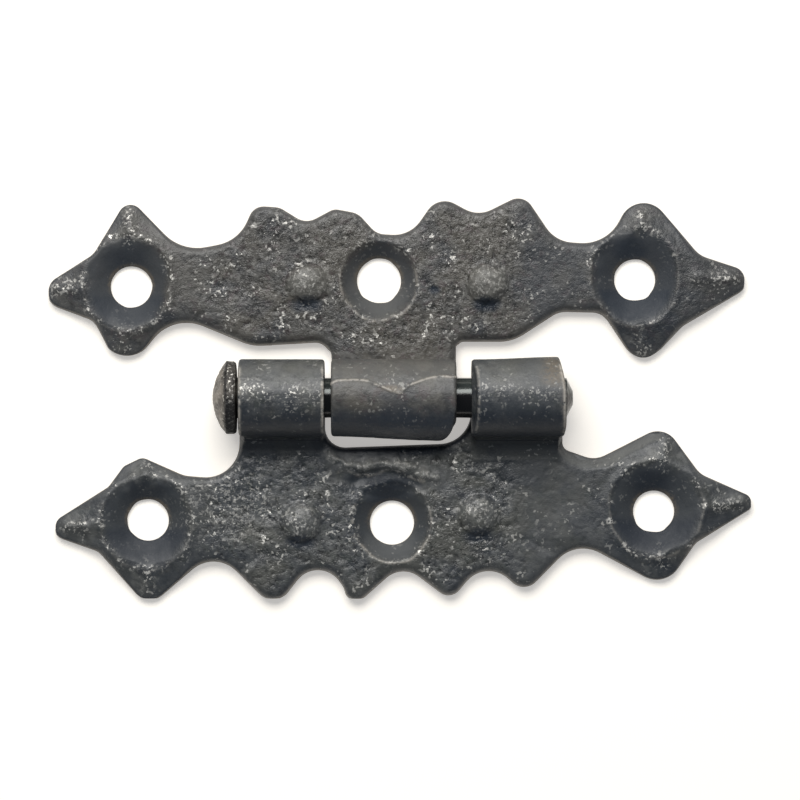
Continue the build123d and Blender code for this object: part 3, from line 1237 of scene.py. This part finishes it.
@dataclass
class Pin(Forging):
    """The pin: a smooth shank, a hammered head and a blunt tail.

    Attributes:
        head_end: X where the head ends.
        tail_start: X where the tail leaves the barrel.
    """

    head_end: float = -16.25
    tail_start: float = 16.25
    grain: float = 0.09
    triangles: int = 120_000

    def build(self) -> bpy.types.Object:
        """Makes the pin.

        Returns:
            The finished piece.
        """
        self.blank()
        worked = WorkedMesh(self.piece)
        head = smooth_step(self.head_end + 0.1, self.head_end - 0.15, worked.at[:, 0])
        tail = smooth_step(self.tail_start, self.tail_start + 0.3, worked.at[:, 0])
        lumps = worked.lumps(Lumps.PIN_COARSE)
        fine = worked.lumps(Lumps.PIN_FINE)
        worked.push(head * (0.09 * lumps + 0.04 * fine - 0.08) + tail * 0.02 * (fine - 1.0))
        around = self.off_axis(worked.at)
        worked.keep_inside(*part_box(self.node))
        worked.add(Mark.WEAR, head * smooth_step(3.0, 3.5, around))
        worked.store()
        self.thin()
        self.dress()
        return self.piece


@dataclass(frozen=True)
class Studio:
    """A pale floor, soft light from beyond the one-knuckle leaf, and the camera above.

    Attributes:
        height: how high the camera stands, in metres.
        across: width of the picture at the leaves, in metres.
        aim: where the camera looks, in metres.
        key_tilt: how far the main light leans from straight above, in degrees.
        key_distance: how far away it is, in metres.
        key_size: its size, in metres.
        key_aside: how far it stands to the right, in metres.
        key_power: its power, in watts.
        key_colour: its colour.
        sky: brightness of the room.
        sky_colour: colour of the room.
        floor_size: how wide the floor is, in metres.
        floor_drop: how far it lies under the hinge, in metres.
        floor_colour: its colour under the light.
        floor_white: its colour where the camera sees it.
        floor_glow: how bright that is.
        film: width of the camera's film.
    """

    height: float = 0.5
    across: float = 0.0800
    aim: Place = (0.0, -0.00022)
    key_tilt: float = 37.0
    key_distance: float = 0.5
    key_size: float = 0.26
    key_aside: float = -0.06
    key_power: float = 2.7
    key_colour: Colour = (1.0, 0.985, 0.96)
    sky: float = 0.15
    sky_colour: Colour = (0.84, 0.94, 1.06)
    floor_size: float = 3.0
    floor_drop: float = 0.00002
    floor_colour: Colour = (0.88, 0.84, 0.77)
    floor_white: Colour = (0.99, 0.957, 0.925)
    floor_glow: float = 0.42
    film: float = 36.0

    def build(self) -> None:
        """Sets up the floor, the light, the room and the camera."""
        scene = bpy.context.scene
        scene.view_settings.view_transform = "Standard"
        self.lay_floor()
        self.hang_light()
        self.paint_room()
        camera = bpy.data.objects.new("camera", bpy.data.cameras.new("camera"))
        camera.data.sensor_width = self.film
        camera.data.lens = self.film * (self.height - MM) / self.across
        camera.location = (*self.aim, self.height)
        scene.collection.objects.link(camera)
        scene.camera = camera

    def lay_floor(self) -> None:
        """Lays a wide white floor just under the hinge, which keeps its shadow."""
        bpy.ops.object.select_all(action="DESELECT")
        under = (0.0, 0.0, -self.floor_drop)
        bpy.ops.mesh.primitive_plane_add(size=self.floor_size, location=under)
        floor = bpy.context.object
        floor.name = "floor"
        sheet = ShaderSheet("white_floor")
        shader = sheet.shader.inputs
        shader["Base Color"].default_value = (*self.floor_colour, 1.0)
        shader["Roughness"].default_value = 0.9
        shader["Specular IOR Level"].default_value = 0.1
        rays = [
            sheet.node("ShaderNodeLightPath", {}, {}, name)
            for name in ("Is Camera Ray", "Is Glossy Ray", "Is Transmission Ray")
        ]
        seen = (rays[0] + rays[1] + rays[2]).at_most(1.0)
        sheet.feed(shader["Emission Color"], sheet.shade(self.floor_white, seen))
        shader["Emission Strength"].default_value = self.floor_glow
        floor.data.materials.append(sheet.material)

    def hang_light(self) -> None:
        """Hangs the main light: broad and soft, from the +Y side."""
        lamp = bpy.data.lights.new("main_light", "AREA")
        lamp.shape = "RECTANGLE"
        lamp.size = self.key_size * 1.5
        lamp.size_y = self.key_size
        lamp.energy = self.key_power
        lamp.color = self.key_colour
        holder = bpy.data.objects.new("main_light", lamp)
        lean = math.radians(self.key_tilt)
        holder.location = (
            self.key_aside,
            self.key_distance * math.sin(lean),
            self.key_distance * math.cos(lean),
        )
        holder.rotation_euler = Vector(holder.location).to_track_quat("Z", "Y").to_euler()
        bpy.context.scene.collection.objects.link(holder)

    def paint_room(self) -> None:
        """Makes the room an even, faintly blue white."""
        world = bpy.data.worlds.new("room")
        world.use_nodes = True
        room = world.node_tree.nodes["Background"]
        room.inputs["Color"].default_value = (*self.sky_colour, 1.0)
        room.inputs["Strength"].default_value = self.sky
        bpy.context.scene.world = world


WARM_IRON = BlackIron(
    name="warm_black_iron",
    ground=(0.033, 0.032, 0.030),
    pale=(0.118, 0.114, 0.104),
    brown=(0.092, 0.084, 0.070),
    blue=(0.038, 0.042, 0.050),
    stain=(0.066, 0.046, 0.048),
    smooth=(0.046, 0.051, 0.057),
    edge=(0.078, 0.080, 0.082),
    dust_and_highlight=(0.150, 0.146, 0.130),
    soot=(0.010, 0.018, 0.031),
    rough=0.38,
)
BLUE_IRON = BlackIron(
    name="blue_black_iron",
    ground=(0.021, 0.024, 0.029),
    pale=(0.112, 0.116, 0.114),
    brown=(0.074, 0.074, 0.062),
    blue=(0.027, 0.034, 0.044),
    stain=(0.042, 0.050, 0.044),
    smooth=(0.036, 0.042, 0.049),
    edge=(0.060, 0.064, 0.068),
    dust_and_highlight=(0.190, 0.192, 0.180),
    soot=(0.009, 0.015, 0.026),
    rough=0.36,
    relief=0.65,
)
PIN_BLACK = PinSteel(
    name="black_pin_steel",
    black=(0.008, 0.008, 0.009),
    painted_sheen=(0.042, 0.050, 0.047),
    rubbed_and_sheen=(0.25, 0.225, 0.195),
    bare=(0.62, 0.60, 0.55),
    head_end=-16.3,
    dome_start=-17.25,
)


def end_line(x: float, wear: float, line: float) -> Ridge:
    """The worn line round a knuckle's end, at one X."""
    return Ridge(points=((x, -3.4), (x, 3.0)), width=0.13, height=0.0, wear=wear, line=line)


def upper_leaf() -> Leaf:
    """The leaf with one knuckle.

    Returns:
        The leaf, yet to be built.
    """
    return Leaf(
        node="one_knuckle_leaf",
        body="one_knuckle_side",
        name="one_knuckle_leaf_iron",
        slot="warm_black_iron",
        finish=WARM_IRON,
        side=1,
        bowls=(
            Bowl(-26.9, 11.1, 2.05, (4.0, 5.3, 4.8, 4.5), 0.14, 1.0, 0.1, 0.5, 0.6),
            Bowl(-2.1, 11.7, 2.2, (3.85, 3.95, 3.85, 4.0), 0.03, 0.3, 0.45, 0.4),
            Bowl(23.5, 11.8, 2.05, (4.4, 5.3, 4.4, 4.7), 0.12, 0.6, 0.15, 0.8, 0.85),
        ),
        bumps=((-9.3, 11.5), (8.7, 11.4)),
        tips=(
            (-34.6, 10.8), (-27.2, 18.6), (-27.6, 4.6),
            (33.8, 12.0), (24.1, 18.6), (24.2, 4.2),
        ),
        dents=(
            Dent(-17.5, 11.5, 2.6, 0.10),
            Dent(14.5, 13.0, 2.8, 0.10),
            Dent(-12.5, 15.0, 1.8, 0.08),
            Dent(3.5, 14.5, 1.7, 0.09),
            Dent(3.5, 10.8, 0.6, 0.16),
            Dent(1.5, 7.4, 2.0, 0.08),
            Dent(10.5, 7.6, 2.0, 0.08),
        ),
        smudges=(
            Smudge(-0.6, 0.95, 1.3, 0.5, 0.8, Mark.RUST_AND_REFLECTION, True),
            Smudge(-14.5, 9.0, 2.2, 1.4, 0.35),
            Smudge(3.5, 10.8, 0.9, 0.7, 0.95),
            Smudge(26.8, 7.6, 2.4, 1.6, 0.55),
            Smudge(29.5, 10.2, 2.0, 1.2, 0.6),
            Smudge(-23.5, 8.0, 1.5, 1.0, 0.4),
            Smudge(26.5, 11.8, 11.0, 10.0, 0.4),
            Smudge(15.0, 12.5, 5.5, 6.0, 0.22),
            Smudge(-2.1, 10.4, 4.2, 3.6, 0.3, Mark.DUST_AND_HIGHLIGHT),
        ),
        bump_highlight=0.85,
        quiet_from=10.5,
        hush=0.45,
        arm_wear=0.9,
        relief=0.75,
        crown=(
            Ridge(
                points=(
                    (-7.1, 1.1), (-6.6, 1.5), (-5.9, 1.7), (-3.5, 1.7), (-2.0, 1.15),
                    (-0.1, 0.5), (0.3, 0.8), (1.2, 1.35), (3.5, 2.05), (6.0, 2.0),
                ),
                width=0.11,
                height=0.09,
                wear=0.3,
                line=0.7,
            ),
            # painted highlight: a paler band on the barrel's side that faces the light
            Ridge(points=((-6.7, 2.7), (5.5, 2.9)), width=1.4, height=0.0, pale=0.6),
        ),
        warps=(EndWarp(-7.2, 4.6, rear=(0.0, -0.45)), EndWarp(3.0, 5.6, rear=(-0.35, 0.0))),
        seed=3.0,
    )


def lower_leaf() -> Leaf:
    """The leaf with two knuckles.

    Returns:
        The leaf, yet to be built.
    """
    return Leaf(
        node="two_knuckle_leaf",
        body="two_knuckle_side",
        name="two_knuckle_leaf_iron",
        slot="blue_black_iron",
        finish=BLUE_IRON,
        side=-1,
        bowls=(
            Bowl(-25.2, -12.25, 2.05, (4.5, 4.7, 4.7, 4.9), 0.14, 0.9, 0.1, 0.5, 0.75),
            Bowl(-0.8, -12.5, 2.2, (3.9, 4.3, 3.9, 4.0), 0.05, 0.5, 0.5, 0.7),
            Bowl(25.4, -11.35, 2.05, (5.0, 5.1, 4.6, 4.6), 0.16, 0.9, 0.2, 0.8, 0.9),
        ),
        bumps=((-9.9, -12.4), (7.9, -11.7)),
        tips=(
            (-33.6, -12.9), (-25.4, -6.6), (-25.2, -19.4),
            (34.5, -10.5), (26.6, -4.0), (26.4, -17.6),
        ),
        dents=(
            Dent(-4.9, -7.9, 0.9, 0.24, 1.8, 0.5),
            Dent(-1.6, -8.7, 1.5, 0.45, 2.2, 0.8),
            Dent(15.5, -10.5, 2.6, 0.10),
            Dent(-15.0, -11.0, 2.8, 0.10),
            Dent(3.4, -8.5, 1.4, 0.10),
        ),
        smudges=(
            Smudge(-1.3, -8.5, 4.0, 1.3, 0.85),
            Smudge(-4.9, -8.0, 1.4, 0.8, 0.5),
            # painted shadow of the middle knuckle along the slot's edge
            Smudge(0.0, -5.2, 8.4, 0.75, 0.95),
            Smudge(9.0, -7.0, 5.0, 1.4, 0.5),
            Smudge(11.8, -6.8, 5.5, 2.6, 0.55),
            Smudge(-12.0, -15.5, 3.0, 1.5, 0.35),
            Smudge(15.5, 2.6, 1.8, 1.6, 0.7, Mark.RUST_AND_REFLECTION, True),
            Smudge(26.4, -16.6, 2.2, 1.2, 0.6),
            Smudge(31.2, -11.8, 2.2, 0.9, 0.55),
            Smudge(-2.3, -9.0, 5.0, 1.5, 0.5),
            Smudge(-17.0, -11.0, 6.0, 4.5, 0.28, Mark.WEAR),
            Smudge(-14.0, -11.5, 6.5, 5.0, 0.12, Mark.DUST_AND_HIGHLIGHT),
            Smudge(4.0, -7.4, 4.0, 1.8, 0.3, Mark.DUST_AND_HIGHLIGHT),
            Smudge(-0.8, -14.6, 3.8, 2.2, 0.2, Mark.DUST_AND_HIGHLIGHT),
        ),
        quiet_from=9.5,
        arm_wear=0.95,
        ridges=(
            Ridge(
                points=(
                    (-6.9, -5.8), (-5.6, -6.6), (-4.3, -6.9), (-1.6, -6.5),
                    (0.0, -6.8), (2.4, -7.7), (3.6, -8.0),
                ),
                width=0.55,
                height=0.48,
                wear=0.45,
                line=0.1,
                pale=1.0,
            ),
            Ridge(
                points=(
                    (-6.2, -7.4), (-5.2, -7.3), (-4.0, -7.75), (-2.6, -7.6),
                    (-1.0, -7.2), (0.8, -7.7), (2.4, -8.4),
                ),
                width=0.16,
                height=0.1,
                wear=0.5,
                line=0.6,
            ),
        ),
        bevels=(
            Bevel(
                points=(
                    (16.4, -4.9), (17.9, -6.05), (19.4, -6.15),
                    (20.9, -5.8), (23.0, -4.5), (25.3, -3.5),
                ),
                width=1.0,
                depth=0.7,
            ),
        ),
        crown=(
            Ridge(((-15.6, 0.9), (-12.0, 0.5), (-8.0, 0.3)), width=0.9, height=0.03, wear=0.75),
            Ridge(((-12.4, -1.9), (-10.4, -0.9)), width=0.35, height=0.02, wear=0.7),
            Ridge(((7.6, 0.9), (12.0, 0.7), (16.0, 0.9)), width=0.6, height=0.03, wear=0.4),
            # painted highlight: paler bands on the barrels' sides that face the light
            Ridge(((-15.8, 2.6), (-7.8, 2.6)), width=1.2, height=0.0, pale=0.35),
            Ridge(((7.4, 2.6), (16.0, 2.6)), width=1.2, height=0.0, pale=0.4),
            end_line(-15.9, wear=0.4, line=0.7),
            end_line(-7.65, wear=0.6, line=0.9),
            end_line(7.3, wear=0.5, line=0.4),
            end_line(16.05, wear=0.4, line=0.8),
        ),
        warps=(
            EndWarp(14.0, 16.2, front=(-0.38, 0.0), crown=(0.2, 0.0), rear=(0.12, 0.0)),
            EndWarp(8.0, 16.0, front=(0.0, 0.24)),
            EndWarp(9.0, 7.2, crown=(0.5, 0.0)),
        ),
        foot_end=-7.2,
        relief=0.7,
        roots=(Root(-16.05, -7.5, 1.7, 0.15), Root(7.1, 16.25, 2.4, 0.3)),
        seed=7.0,
    )


def headed_pin() -> Pin:
    """The pin that both leaves are on."""
    return Pin(
        node="hinge_pin",
        body="two_knuckle_side",
        name="hinge_pin_steel",
        slot="black_pin_steel",
        finish=PIN_BLACK,
    )


def main() -> None:
    """Builds the pieces and the studio."""
    logging.basicConfig(level=logging.INFO, format="%(message)s")
    for forging in (upper_leaf(), lower_leaf(), headed_pin()):
        piece = forging.build()
        log.info("%s: %d faces", piece.name, len(piece.data.polygons))
    Studio().build()


if __name__ == "__main__":
    main()
